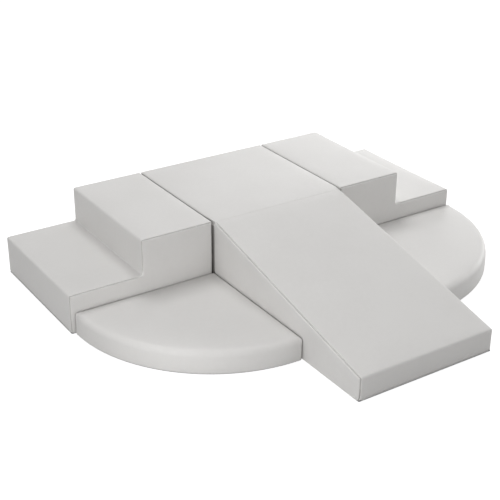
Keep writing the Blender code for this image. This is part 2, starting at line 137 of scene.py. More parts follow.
@dataclass
class Pattern:
    """A cover's shape: an outline in (u, v) run along w, from the start panel to the end panel.

    Edge i of the outline runs from corner i to corner i + 1. place turns (u, v, w) into a place in
    the frame, hollow lists the corners that fold the other way, and the last field tells which
    places outside the seams take the seams' dark tint as painted shade.
    """

    outline: list
    fold_radii: list
    start: Sewing
    end: Sewing
    place: object
    hollow: tuple = ()
    painted_shade: object = None

    def edge_lines(self, inset, shares):
        """Each edge as a point and a direction, moved inwards by its share of the inset."""
        lines = []
        for index, share in enumerate(shares):
            first = Vector(self.outline[index])
            run = (Vector(self.outline[(index + 1) % len(self.outline)]) - first).normalized()
            lines.append((first + Vector((-run.y, run.x)) * inset * share, run))
        return lines

    def folded_corner(self, index, inset, lines, shares):
        """Points round one corner, each with its share of the roll."""
        before, run_before = lines[index - 1]
        after, run_after = lines[index]
        share_before = shares[index - 1]
        share_after = shares[index]
        corner = geometry.intersect_line_line_2d(
            before - run_before * LONG_RUN,
            before + run_before * LONG_RUN,
            after - run_after * LONG_RUN,
            after + run_after * LONG_RUN,
        )
        if self.fold_radii[index] == 0:
            return [(corner, (share_before + share_after) / 2)]
        side = -1 if index in self.hollow else 1
        change = inset * (share_before + share_after) / 2
        radius = max(self.fold_radii[index] - side * change, SHARPEST_FOLD)
        angle = run_before.angle(run_after)
        start = corner - run_before * radius * math.tan(angle / 2)
        centre = start + Vector((-run_before.y, run_before.x)) * radius * side
        points = []
        for step in range(FOLD_STEPS + 1):
            part = step / FOLD_STEPS
            point = centre + Matrix.Rotation(side * angle * part, 2) @ (start - centre)
            points.append((point, share_before + (share_after - share_before) * part))
        return points

    def ring(self, sewing, depth, inset, inwards):
        """One ring of the cover: every edge moved inwards, its folds, and points along its runs."""
        count = len(self.outline)
        lines = self.edge_lines(inset, sewing.shares)
        corners = [self.folded_corner(index, inset, lines, sewing.shares) for index in range(count)]
        points = []
        for index, corner in enumerate(corners):
            following = (index + 1) % count
            points += corner
            length = (Vector(self.outline[following]) - Vector(self.outline[index])).length
            pieces = max(1, round(length / PANEL_STEP))
            for piece in range(1, pieces):
                point = corner[-1][0].lerp(corners[following][0][0], piece / pieces)
                points.append((point, sewing.shares[index]))
        return [(point.x, point.y, sewing.at + inwards * depth * share) for point, share in points]

    def rings(self):
        """All the rings from one end panel to the other, and which of them are seam grooves."""
        inwards = reversed(self.start.roll)
        start = [self.ring(self.start, depth, inset, 1) for depth, inset in inwards]
        end = [self.ring(self.end, depth, inset, -1) for depth, inset in self.end.roll]
        first = np.array(start[-1])
        last = np.array(end[0])
        pieces = max(1, round(abs(last[0][2] - first[0][2]) / PANEL_STEP))
        between = [first + (last - first) * piece / pieces for piece in range(1, pieces)]
        rings = start + [[tuple(point) for point in ring] for ring in between] + end
        grooves = []
        if self.start.has_groove:
            grooves.append(len(SEAM_ROLL) - 1 - GROOVE_AT)
        if self.end.has_groove:
            grooves.append(len(rings) - len(SEAM_ROLL) + GROOVE_AT)
        return rings, grooves


def points_inside(ring):
    """A honeycomb of points inside a closed ring, clear of the ring itself."""
    ring = np.array(ring)
    low = ring.min(0)
    high = ring.max(0)
    row_step = PANEL_STEP * math.sqrt(3) / 2
    points = []
    for row in range(int((high[1] - low[1]) / row_step) + 1):
        shift = row % 2 / 2
        for column in range(int((high[0] - low[0]) / PANEL_STEP) + 1):
            points.append((low[0] + PANEL_STEP * (column + shift), low[1] + row_step * (row + 0.5)))
    points = np.array(points)
    inside = np.zeros(len(points), bool)
    nearest = np.full(len(points), np.inf)
    for first, second in zip(ring, np.roll(ring, -1, axis=0)):
        run = second - first
        if run[1] != 0:
            level = (first[1] > points[:, 1]) != (second[1] > points[:, 1])
            crossing = run[0] * (points[:, 1] - first[1]) / run[1] + first[0]
            inside ^= level & (points[:, 0] < crossing)
        share = np.clip((points - first) @ run / max(run @ run, NO_LENGTH), 0, 1)
        nearest = np.minimum(nearest, np.linalg.norm(points - first - share[:, None] * run, axis=1))
    return points[inside & (nearest > PANEL_STEP * PANEL_CLEAR_SHARE)]


def fill_panel(shape, pattern, ring, border):
    """Fills the inside of an end ring with even triangles."""
    inner = points_inside([point[:2] for point in ring])
    flat = [Vector(point[:2]) for point in ring] + [Vector(point) for point in inner]
    edges = [(index, (index + 1) % len(ring)) for index in range(len(ring))]
    points, _, faces, origins, _, _ = geometry.delaunay_2d_cdt(flat, edges, [], 1, SNAP)
    corners = []
    for point, origin in zip(points, origins):
        if origin[0] < len(ring):
            corners.append(border[origin[0]])
        else:
            corners.append(shape.verts.new(pattern.place(point.x, point.y, ring[0][2])))
    for face in faces:
        shape.faces.new([corners[index] for index in face])


def add_walls(shape, rings):
    """Joins each ring of points to the next with faces."""
    for one, other in zip(rings, rings[1:]):
        for index in range(len(one)):
            following = (index + 1) % len(one)
            shape.faces.new((one[index], one[following], other[following], other[index]))


def cut_cover(pattern):
    """The closed cover, with its seam grooves creased and marked, and the grooves' paths."""
    shape = bmesh.new()
    crease = shape.edges.layers.float.new("crease_edge")
    seam = shape.verts.layers.float.new("seam")
    rings, grooves = pattern.rings()
    made = [[shape.verts.new(pattern.place(*point)) for point in ring] for ring in rings]
    add_walls(shape, made)
    fill_panel(shape, pattern, rings[0], made[0])
    fill_panel(shape, pattern, rings[-1], made[-1])
    for groove in grooves:
        for one, other in zip(made[groove], made[groove][1:] + made[groove][:1]):
            shape.edges.get((one, other))[crease] = 1
        for away in range(-SEAM_REACH, SEAM_REACH + 1):
            if 0 <= groove + away < len(made):
                for vertex in made[groove + away]:
                    vertex[seam] = max(vertex[seam], 1 - abs(away) / SEAM_REACH)
    # The places that the pattern picks take the seams' full mark, so they get the seams' dark tint
    # as painted shade and are pinned like seams.
    for vertex in shape.verts:
        if pattern.painted_shade and pattern.painted_shade(vertex.co):
            vertex[seam] = 1
    bmesh.ops.recalc_face_normals(shape, faces=shape.faces)
    return shape, [[vertex.co.copy() for vertex in made[groove]] for groove in grooves]


TOP_SWELL = 0.0025
SIDE_SWELL = 0.003
LEAST_SWELL = 1e-5
PINNED_MARK = 0.5
FREED_OVER = 0.04
PRESSURE = 4.0
UP = (0, 0, 1)
LEFT = (-1, 0, 0)
RIGHT = (1, 0, 0)
FRONT = (0, -1, 0)
BACK = (0, 1, 0)
covers = {}


@dataclass
class FreeSide:
    """A side of a cover that may swell: the way it faces, how far, and what holds it.

    It is held up to a height, and at a place along Y if one is given.
    """

    faces: tuple
    swell: float
    held_to: float = 0.0
    held_at_y: float | None = None

    def limit(self, place, normal):
        """How far this side lets a point of the cover move."""
        facing = max(normal.dot(Vector(self.faces)), 0)
        free = min(max((place.z - self.held_to) / FREED_OVER, 0), 1)
        if self.held_at_y is not None:
            free *= min(abs(place.y - self.held_at_y) / FREED_OVER, 1)
        return self.swell * facing * facing * free


def add_cover(module, pattern, free_sides):
    """Cuts a module's cover and pins what can't swell: seams, underside and pressed faces."""
    shape, grooves = cut_cover(pattern)
    mesh = bpy.data.meshes.new(f"{module}_sewn_cover")
    shape.to_mesh(mesh)
    shape.free()
    cover = bpy.data.objects.new(mesh.name, mesh)
    scene.collection.objects.link(cover)
    rest = [vertex.co.copy() for vertex in mesh.vertices]
    limits = []
    pinned = []
    for vertex, mark in zip(mesh.vertices, mesh.attributes["seam"].data):
        limit = sum(side.limit(vertex.co, vertex.normal) for side in free_sides)
        limits.append(limit)
        if limit < LEAST_SWELL or mark.value > PINNED_MARK:
            pinned.append(vertex.index)
    cover.vertex_groups.new(name="pinned").add(pinned, 1.0, "REPLACE")
    cloth = cover.modifiers.new("filling", "CLOTH").settings
    cloth.vertex_group_mass = "pinned"
    cloth.use_pressure = True
    cloth.uniform_pressure_force = PRESSURE
    cloth.effector_weights.gravity = 0
    covers[module] = {"cover": cover, "rest": rest, "limits": limits, "grooves": grooves}


block_low, block_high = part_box("block_cover")
block_top = block_high.z - CROWN
mat_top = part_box("left_mat_cover")[1].z
# How far along the block's side, in from its upright edges and down from its top the painted gap
# shade reaches.
SIDE_SHADE_REACH = 0.030
EDGE_SHADE_REACH = 0.010


def is_beside_ramp(place):
    """The block's upright edges in the gaps beside the ramp, tinted dark as painted shade for those
    gaps.
    """
    on_side = place.y - block_low.y < SIDE_SHADE_REACH
    at_edge = min(place.x - block_low.x, block_high.x - place.x) < EDGE_SHADE_REACH
    return on_side and at_edge and place.z < block_top - EDGE_SHADE_REACH


add_cover(
    "block",
    Pattern(
        outline=[
            (block_low.x, HEM_LIFT),
            (block_high.x, HEM_LIFT),
            (block_high.x, block_top),
            (block_low.x, block_top),
        ],
        fold_radii=[0, 0, BLOCK_FOLD, BLOCK_FOLD],
        start=Sewing(block_low.y, JOINT_BEND, [FLOOR_SHARE, JOINT_SIDE_SHARE, 1, JOINT_SIDE_SHARE]),
        end=Sewing(block_high.y, SEAM_ROLL, [FLOOR_SHARE, 1, 1, 1]),
        place=lambda u, v, w: Vector((u, w, v)),
        # The block's upright edges beside the ramp are tinted dark: painted shade for the gaps.
        painted_shade=is_beside_ramp,
    ),
    [FreeSide(UP, TOP_SWELL, held_at_y=block_low.y), FreeSide(BACK, SIDE_SWELL)],
)


# Step covers
# The same fabric. One band folds over the treads and risers, so those edges are soft folds with
# no seam, and the two L-shaped side panels are sewn to it.
UPPER_TREAD = 0.304
LOWER_HEIGHT = 0.156
TREAD_FOLD = 0.008
RISER_FOOT = 0.008


def step_pattern(module, side):
    low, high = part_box(f"{module}_cover")
    inner = low.x if side > 0 else high.x
    length = high.x - low.x
    shares = [FLOOR_SHARE, 1, 1, 1, 1, 1]
    return Pattern(
        outline=[
            (0, HEM_LIFT),
            (length, HEM_LIFT),
            (length, LOWER_HEIGHT),
            (UPPER_TREAD, LOWER_HEIGHT),
            (UPPER_TREAD, block_top),
            (0, block_top),
        ],
        fold_radii=[0, 0, TREAD_FOLD, RISER_FOOT, TREAD_FOLD, BLOCK_FOLD],
        start=Sewing(low.y, SEAM_ROLL, shares),
        end=Sewing(high.y, SEAM_ROLL, shares),
        place=lambda u, v, w: Vector((inner + side * u, w, v)),
        hollow=(3,),
    )


for module, side, outer in (("left_step", -1, LEFT), ("right_step", 1, RIGHT)):
    add_cover(
        module,
        step_pattern(module, side),
        [
            FreeSide(UP, TOP_SWELL),
            FreeSide(outer, SIDE_SWELL),
            FreeSide(FRONT, SIDE_SWELL, mat_top),
            FreeSide(BACK, SIDE_SWELL),
        ],
    )


# Ramp cover
# The same fabric. The band runs down the slope and folds softly over the toe, and the two tapered
# side panels are sewn to it. Its upper edge presses against the block.
TOE_HEIGHT = 0.091
TOE_FOLD = 0.009
RAMP_TOP_FOLD = 0.0006
RAMP_BEND = [(0.0350, 0.0081), (0.0175, 0.0045)]
PRESSED_DROP = 0.0020
PRESSED_GAP = 0.0002
PRESSED_HEIGHT = 0.070

ramp_low, ramp_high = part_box("ramp_cover")
ramp_shares = [FLOOR_SHARE, 1.2, 1.3, 1.3, 1.3, 0.2, 0.2]
pressed = block_low.y - PRESSED_GAP - ramp_high.y
add_cover(
    "ramp",
    Pattern(
        outline=[
            (0, HEM_LIFT),
            (ramp_high.y - ramp_low.y, HEM_LIFT),
            (ramp_high.y - ramp_low.y, TOE_HEIGHT),
            *[(run, block_top - drop) for run, drop in RAMP_BEND],
            (-pressed, block_top - PRESSED_DROP),
            (0, block_top - PRESSED_HEIGHT),
        ],
        fold_radii=[0, 0, TOE_FOLD, 0, 0, RAMP_TOP_FOLD, 0],
        start=Sewing(ramp_low.x, SEAM_ROLL, ramp_shares),
        end=Sewing(ramp_high.x, SEAM_ROLL, ramp_shares),
        place=lambda u, v, w: Vector((w, ramp_high.y - u, v)),
    ),
    [
        FreeSide(UP, TOP_SWELL, held_at_y=block_low.y),
        FreeSide(LEFT, SIDE_SWELL, mat_top),
        FreeSide(RIGHT, SIDE_SWELL, mat_top),
        FreeSide(FRONT, SIDE_SWELL),
    ],
)


# Corner mat covers
# The same fabric. A quarter-round top rolls softly over the curved rim into the side, and the two
# straight sides meet the steps and the ramp. The right mat reaches farther along its step unit.
MAT_RADIUS = 0.588
RIGHT_MAT_REACH = 0.612
MAT_ARC_PIECES = 66
MAT_CORNER = 0.005
RIM_RADIUS = 0.024
RIM_STEPS = 7
RIM_TURNS = [math.pi / 2 * step / RIM_STEPS for step in range(RIM_STEPS + 1)]
RIM_ROLL = [
    (RIM_RADIUS * (1 - math.sin(turn)), RIM_RADIUS * (1 - math.cos(turn))) for turn in RIM_TURNS
]
RIM_SWELL = 0.004
FOOT_ROLL = [(0.0010, 0.0), (0.0, 0.0010)]
TIGHT_SHARE = 0.25


def mat_pattern(module, side, reach):
    low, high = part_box(f"{module}_cover")
    corner_x = low.x if side > 0 else high.x
    arc = []
    for step in range(MAT_ARC_PIECES + 1):
        angle = math.pi / 2 * step / MAT_ARC_PIECES
        arc.append((reach * math.cos(angle), MAT_RADIUS * math.sin(angle)))
    curved = [1] * MAT_ARC_PIECES
    return Pattern(
        outline=[(0, 0)] + arc,
        fold_radii=[MAT_CORNER, MAT_CORNER] + [0] * (MAT_ARC_PIECES - 1) + [MAT_CORNER],
        start=Sewing(HEM_LIFT, FOOT_ROLL, [1] + curved + [1]),
        end=Sewing(high.z - CROWN, RIM_ROLL, [TIGHT_SHARE] + curved + [TIGHT_SHARE]),
        place=lambda u, v, w: Vector((corner_x + side * u, high.y - v, w)),
    )


for module, side, outer, reach in (
    ("left_mat", -1, LEFT, MAT_RADIUS),
    ("right_mat", 1, RIGHT, RIGHT_MAT_REACH),
):
    add_cover(
        module,
        mat_pattern(module, side, reach),
        [FreeSide(UP, TOP_SWELL), FreeSide(outer, RIM_SWELL), FreeSide(FRONT, RIM_SWELL)],
    )


# Filling and finishing the covers
# The foam is pushed into the sewn covers, which swell between their seams. Each cover is a soft
# coated fabric with a fine leather grain, 1.2 mm thick, and stays open below.
COVER_WALL = 0.0012
CLOTH_FRAMES = 20
FULLNESS = 2.2
FACING_DOWN = -0.7
LEATHER_GRAIN = 0.0011


class Signal:
    """A value that runs through a tree of nodes. Sums on signals add Math nodes."""

    def __init__(self, tree, socket=None):
        self.tree = tree
        self.socket = socket

    def node(self, kind, settings, inputs, output=0):
        """Adds a node, sets it up, fills its sockets and returns one of its outputs."""
        made = self.tree.nodes.new(kind)
        for name, value in settings.items():
            setattr(made, name, value)
        for name, value in inputs.items():
            if isinstance(value, Signal):
                self.tree.links.new(value.socket, made.inputs[name])
            else:
                made.inputs[name].default_value = value
        return Signal(self.tree, made.outputs[output])

    def sum(self, operation, first, second):
        return self.node("ShaderNodeMath", {"operation": operation}, {0: first, 1: second})

    def __add__(self, other):
        return self.sum("ADD", self, other)

    def __radd__(self, other):
        return self.sum("ADD", other, self)

    def __sub__(self, other):
        return self.sum("SUBTRACT", self, other)

    def __rsub__(self, other):
        return self.sum("SUBTRACT", other, self)

    def __mul__(self, other):
        return self.sum("MULTIPLY", self, other)

    def __rmul__(self, other):
        return self.sum("MULTIPLY", other, self)

    def __mod__(self, other):
        return self.sum("MODULO", self, other)

    def between(self, low, high):
        """Rises smoothly from 0 at low to 1 at high."""
        settings = {"interpolation_type": "SMOOTHSTEP"}
        inputs = {"Value": self, "From Min": low, "From Max": high}
        return self.node("ShaderNodeMapRange", settings, inputs)

    def noise(self, size, detail=2.0):
        """Noise at this place, with blots of about this size in metres."""
        inputs = {"Vector": self, "Scale": 1 / size, "Detail": detail}
        return self.node("ShaderNodeTexNoise", {}, inputs)

    def cells(self, size, feature="F1", spread=1.0):
        """Distance inside cells of about this size in metres."""
        inputs = {"Vector": self, "Scale": 1 / size, "Randomness": spread}
        return self.node("ShaderNodeTexVoronoi", {"feature": feature}, inputs)

    def tint(self, first, second):
        """Runs from the first colour at 0 to the second at 1."""
        inputs = {0: self, 6: first, 7: second}
        return self.node("ShaderNodeMix", {"data_type": "RGBA"}, inputs, 2)

    def bump(self, depth, over=None):
        """This height as a bump of this depth in metres, on top of another bump if one is given."""
        inputs = {"Height": self, "Distance": depth}
        if over:
            inputs["Normal"] = over
        return self.node("ShaderNodeBump", {}, inputs)


class Finish:
    """A material, with the place on the piece as a signal and constants on the shader's sockets."""

    def __init__(self, name, **constants):
        self.material = bpy.data.materials.new(name)
        self.material.use_nodes = True
        self.tree = self.material.node_tree
        self.shader = self.tree.nodes["Principled BSDF"]
        for socket, value in constants.items():
            self.shader.inputs[socket.replace("_", " ")].default_value = value
        self.place = Signal(self.tree, self.tree.nodes.new("ShaderNodeTexCoord").outputs["Object"])

    def mark(self, attribute):
        """A number that the piece's mesh keeps under this name."""
        return self.place.node("ShaderNodeAttribute", {"attribute_name": attribute}, {}, "Fac")

    def feed(self, socket, signal):
        self.tree.links.new(signal.socket, self.shader.inputs[socket])


def cover_finish():
    finish = Finish("cover_leather", Specular_IOR_Level=0.4)
    place = finish.place
    seam = finish.mark("seam")
    mottle = place.noise(0.018, 4.0)
    tone = place.noise(0.30) * 0.7 + mottle * 0.3
    clean = tone.between(0.3, 0.7).tint((0.672, 0.661, 0.647, 1), (0.700, 0.690, 0.676, 1))
    # Seam grooves, and the places marked like them, turn dark grey: painted shade standing in for
    # the shade inside the grooves and gaps.
    painted_shade = (seam.between(0.80, 1.0) * 0.9).tint(clean, (0.38, 0.37, 0.355, 1))
    finish.feed("Base Color", painted_shade)
    finish.feed("Roughness", mottle * 0.12 + 0.46 - seam * 0.06)
    puckers = (place.noise(0.012) * seam).bump(0.0012)
    creases = place.noise(0.07).bump(0.0008, puckers)
    grain = place.cells(LEATHER_GRAIN, "DISTANCE_TO_EDGE").between(0.0, 0.3)
    finish.feed("Normal", grain.bump(0.00008, creases))
    return finish.material


COVER = cover_finish()


def plain_mesh(piece):
    """What a piece's modifiers make of it, as a mesh of its own, with the modifiers removed."""
    evaluated = piece.evaluated_get(bpy.context.evaluated_depsgraph_get())
    mesh = bpy.data.meshes.new_from_object(evaluated)
    piece.modifiers.clear()
    piece.data = mesh
    return mesh


def fill_cover(module):
    """Keeps the swelling that the simulation gave a cover, within each point's limit."""
    kept = covers[module]
    mesh = plain_mesh(kept["cover"])
    moves = [vertex.co - rest for vertex, rest in zip(mesh.vertices, kept["rest"])]
    largest = max(move.length for move in moves) or 1.0
    for vertex, rest, move, limit in zip(mesh.vertices, kept["rest"], moves, kept["limits"]):
        vertex.co = rest + move.normalized() * limit * math.tanh(FULLNESS * move.length / largest)
    kept["filled"] = mesh.copy()


def finish_cover(module):
    """Smooths a filled cover, opens it below and gives it its wall."""
    cover = covers[module]["cover"]
    smooth = cover.modifiers.new("smooth", "SUBSURF")
    smooth.levels = 1
    smooth.render_levels = 1
    mesh = plain_mesh(cover)
    shape = bmesh.new()
    shape.from_mesh(mesh)
    below = [
        face
        for face in shape.faces
        if face.normal.z < FACING_DOWN and face.calc_center_median().z < 2 * HEM_LIFT
    ]
    bmesh.ops.delete(shape, geom=below, context="FACES")
    shape.to_mesh(mesh)
    shape.free()
    wall = cover.modifiers.new("wall", "SOLIDIFY")
    wall.thickness = COVER_WALL
    wall.offset = -1
    mesh = plain_mesh(cover)
    mesh.materials.append(COVER)
    mesh.shade_smooth()
    cover.vertex_groups.clear()
    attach(cover, module)
    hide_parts(f"{module}_cover")


for number in range(1, CLOTH_FRAMES + 1):
    scene.frame_set(number)
for module in covers:
    fill_cover(module)
    finish_cover(module)


# Foam cores
# Each core is cut from a slab of pale open-cell foam and fills its cover tightly. A groove below
# makes room for the zip.
FOAM_SETBACK = 0.0018
SMOOTHED_MARK = 0.3
SMOOTHING_ROUNDS = 12
FOAM_PORE = 0.0015
ZIP_ROOM = 0.0003
BELOW_FLOOR = -0.01


def foam_finish():
    finish = Finish("open_cell_foam", Roughness=0.95, Specular_IOR_Level=0.2)
    pores = finish.place.cells(FOAM_PORE)
    blots = finish.place.noise(0.05)
    tone = pores * 0.8 + blots * 0.2
    finish.feed("Base Color", tone.tint((0.76, 0.75, 0.72, 1), (0.92, 0.92, 0.90, 1)))
    finish.feed("Normal", pores.bump(0.0005))
    return finish.material


def box_shape(low, high):
    """A closed box as a bmesh."""
    shape = bmesh.new()
    middle = (Vector(low) + Vector(high)) / 2
    size = Vector(high) - Vector(low)
    matrix = Matrix.Translation(middle) @ Matrix.Diagonal((*size, 1))
    bmesh.ops.create_cube(shape, size=1, matrix=matrix)
    return shape


def new_piece(name, shape, finish):
    """Turns a bmesh into a piece of the model."""
    mesh = bpy.data.meshes.new(name)
    shape.to_mesh(mesh)
    shape.free()
    mesh.materials.append(finish)
    piece = bpy.data.objects.new(name, mesh)
    scene.collection.objects.link(piece)
    return piece


def add_foam_core(module):
    shape = bmesh.new()
    shape.from_mesh(covers[module]["filled"])
    seam = shape.verts.layers.float["seam"]
    edges = [vertex for vertex in shape.verts if vertex[seam] > SMOOTHED_MARK]
    for _ in range(SMOOTHING_ROUNDS):
        bmesh.ops.smooth_vert(
            shape, verts=edges, factor=0.5, use_axis_x=True, use_axis_y=True, use_axis_z=True
        )
    shape.normal_update()
    moved = [vertex.co - vertex.normal * FOAM_SETBACK for vertex in shape.verts]
    for vertex, place in zip(shape.verts, moved):
        vertex.co = place
    core = new_piece(f"{module}_foam_filling", shape, FOAM)
    zip_low, zip_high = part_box(f"{module}_zip")
    room = Vector((ZIP_ROOM, ZIP_ROOM, ZIP_ROOM))
    low = Vector((zip_low.x, zip_low.y, BELOW_FLOOR)) - room
    groove = new_piece(f"{module}_groove", box_shape(low, zip_high + room), FOAM)
    cut = core.modifiers.new("groove", "BOOLEAN")
    cut.operation = "DIFFERENCE"
    cut.solver = "FAST"
    cut.object = groove
    plain_mesh(core).shade_smooth()
    bpy.data.objects.remove(groove)
    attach(core, module)
    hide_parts(f"{module}_foam_core")


FOAM = foam_finish()
for module in covers:
    add_foam_core(module)


# Seam stitches
# Polyester thread in the cover's colour. It shows at the bottom of each seam groove, where the
# band and the panels are sewn together.
STITCH_PITCH = 0.005
STITCH_LENGTH = 0.0042
STITCH_THICKNESS = 0.0009
STITCH_LIFT_SHARE = 0.3


def geometry_tree(name, sizes):
    """A tree of geometry nodes with a mesh in and out, named sizes and a material."""
    tree = bpy.data.node_groups.new(name, "GeometryNodeTree")
    tree.interface.new_socket("Mesh", in_out="INPUT", socket_type="NodeSocketGeometry")
    for size in sizes:
        tree.interface.new_socket(size, in_out="INPUT", socket_type="NodeSocketFloat")
    tree.interface.new_socket("Material", in_out="INPUT", socket_type="NodeSocketMaterial")
    tree.interface.new_socket("Mesh", in_out="OUTPUT", socket_type="NodeSocketGeometry")
    sockets = tree.nodes.new("NodeGroupInput").outputs
    given = {socket.name: Signal(tree, socket) for socket in sockets}
    return tree, given


def end_tree(tree, rows, material):
    """Ends a tree: its instances become real and take the material."""
    real = rows.node("GeometryNodeRealizeInstances", {}, {"Geometry": rows})
    dressed = rows.node("GeometryNodeSetMaterial", {}, {"Geometry": real, "Material": material})
    tree.links.new(dressed.socket, tree.nodes.new("NodeGroupOutput").inputs[0])
    return tree


def stitch_tree():
    """Lays one rounded stitch at every pitch along the paths that it is given."""
    tree, given = geometry_tree("stitches", ["Pitch", "Length", "Thickness"])
    mesh = given["Mesh"]
    path = mesh.node("GeometryNodeMeshToCurve", {}, {"Mesh": mesh})
    spacing = {"Curve": path, "Length": given["Pitch"]}
    stops = mesh.node("GeometryNodeResampleCurve", {"mode": "LENGTH"}, spacing)
    tangent = mesh.node("GeometryNodeInputTangent", {}, {})
    turn = mesh.node("FunctionNodeAlignRotationToVector", {"axis": "X"}, {"Vector": tangent})
    bead = mesh.node("GeometryNodeMeshUVSphere", {}, {"Segments": 6, "Rings": 5, "Radius": 0.5})
    sizes = {"X": given["Length"], "Y": given["Thickness"], "Z": given["Thickness"]}
    scale = mesh.node("ShaderNodeCombineXYZ", {}, sizes)
    inputs = {"Points": stops, "Instance": bead, "Rotation": turn, "Scale": scale}
    return end_tree(tree, mesh.node("GeometryNodeInstanceOnPoints", {}, inputs), given["Material"])


def thread_finish(name, dark, light):
    finish = Finish(name, Roughness=0.7)
    twist = finish.place.noise(0.0006)
    finish.feed("Base Color", twist.between(0.35, 0.65).tint(dark, light))
    finish.feed("Normal", twist.bump(0.0002))
    return finish.material


def grow(name, tree, paths, material, sizes):
    """Runs a tree over open paths and returns what it makes as a piece."""
    points = []
    edges = []
    for path in paths:
        edges += [(len(points) + index, len(points) + index + 1) for index in range(len(path) - 1)]
        points += path
    mesh = bpy.data.meshes.new(name)
    mesh.from_pydata(points, edges, [])
    piece = bpy.data.objects.new(name, mesh)
    scene.collection.objects.link(piece)
    rows = piece.modifiers.new("rows", "NODES")
    rows.node_group = tree
    values = {**sizes, "Material": material}
    for socket in tree.interface.items_tree:
        if socket.in_out == "INPUT" and socket.name in values:
            rows[socket.identifier] = values[socket.name]
    plain_mesh(piece).shade_smooth()
    return piece


def sew(name, paths, thread, body):
    """One piece of stitches along open paths, riding on a body."""
    sizes = {"Pitch": STITCH_PITCH, "Length": STITCH_LENGTH, "Thickness": STITCH_THICKNESS}
    stitches = grow(name, STITCHES, paths, thread, sizes)
    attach(stitches, body)


def above_floor(loop):
    """The part of a closed seam path that is clear of the floor, as an open path."""
    clear = [point.z > PANEL_STEP / 2 for point in loop]
    first = next(index for index in range(len(loop)) if clear[index] and not clear[index - 1])
    return [loop[(first + step) % len(loop)] for step in range(sum(clear))]


STITCHES = stitch_tree()
COVER_THREAD = thread_finish("cover_thread", (0.60, 0.59, 0.575, 1), (0.72, 0.71, 0.695, 1))
for module, kept in covers.items():
    if kept["grooves"]:
        paths = [above_floor(loop) for loop in kept["grooves"]]
        sew(f"{module}_seam_stitches", paths, COVER_THREAD, module)


# Base panels
# Dark grey non-slip fabric with rows of rubbery dots closes each cover below. A slot in it, with
# turned-up lips, takes the zip, and thread runs round the panel and along the slot.
BASE_THICKNESS = 0.0015
LIP_HEIGHT = 0.008
LIP_WALL = 0.0015
LIP_FOOT = 0.0004
BASE_CORNER = 0.006
CORNER_STEPS = 4
BASE_STITCH_INSET = 0.006
SLOT_STITCH_OFFSET = 0.003
DOT_SPACING = 0.006


def base_finish():
    finish = Finish("non_slip_base_fabric")
    place = finish.place
    dots = 1 - place.cells(DOT_SPACING, spread=0.0).between(0.20, 0.30)
    weave = place.noise(0.0012, 3.0)
    dust = place.noise(0.08, 4.0)
    cloth = (weave * 0.5 + dust * 0.5).tint((0.26, 0.26, 0.27, 1), (0.40, 0.40, 0.41, 1))
    finish.feed("Base Color", dots.tint(cloth, (0.22, 0.22, 0.23, 1)))
    finish.feed("Roughness", 0.85 - dots * 0.35)
    finish.feed("Normal", dots.bump(0.0005, weave.bump(0.0002)))
    return finish.material


def rounded_outline(low, high, radius):
    """A rectangle with rounded corners, anticlockwise from its lower right corner."""
    centres = [
        (high[0] - radius, low[1] + radius),
        (high[0] - radius, high[1] - radius),
        (low[0] + radius, high[1] - radius),
        (low[0] + radius, low[1] + radius),
    ]
    points = []
    for index, centre in enumerate(centres):
        for step in range(CORNER_STEPS + 1):
            angle = math.pi / 2 * (index - 1 + step / CORNER_STEPS)
            points.append(Vector(centre) + Vector((math.cos(angle), math.sin(angle))) * radius)
    return points


def quarter_outline(low, high, side):
    """A quarter round the corner where a mat meets the block, anticlockwise."""
    corner = Vector((low.x if side > 0 else high.x, high.y))
    reach = high - low
    arc = []
    for step in range(MAT_ARC_PIECES + 1):
        angle = math.pi / 2 * step / MAT_ARC_PIECES
        arc.append(corner + Vector((side * math.sin(angle) * reach.x, -math.cos(angle) * reach.y)))
    return [corner] + arc[::side]


def inset_outline(outline, inset):
    """An anticlockwise outline moved inwards, each point along the middle of its corner."""
    moved = []
    for index, point in enumerate(outline):
        before = (point - outline[index - 1]).normalized()
        after = (outline[(index + 1) % len(outline)] - point).normalized()
        along = (before + after).normalized()
        moved.append(point + Vector((-along.y, along.x)) * inset / along.dot(after))
    return moved


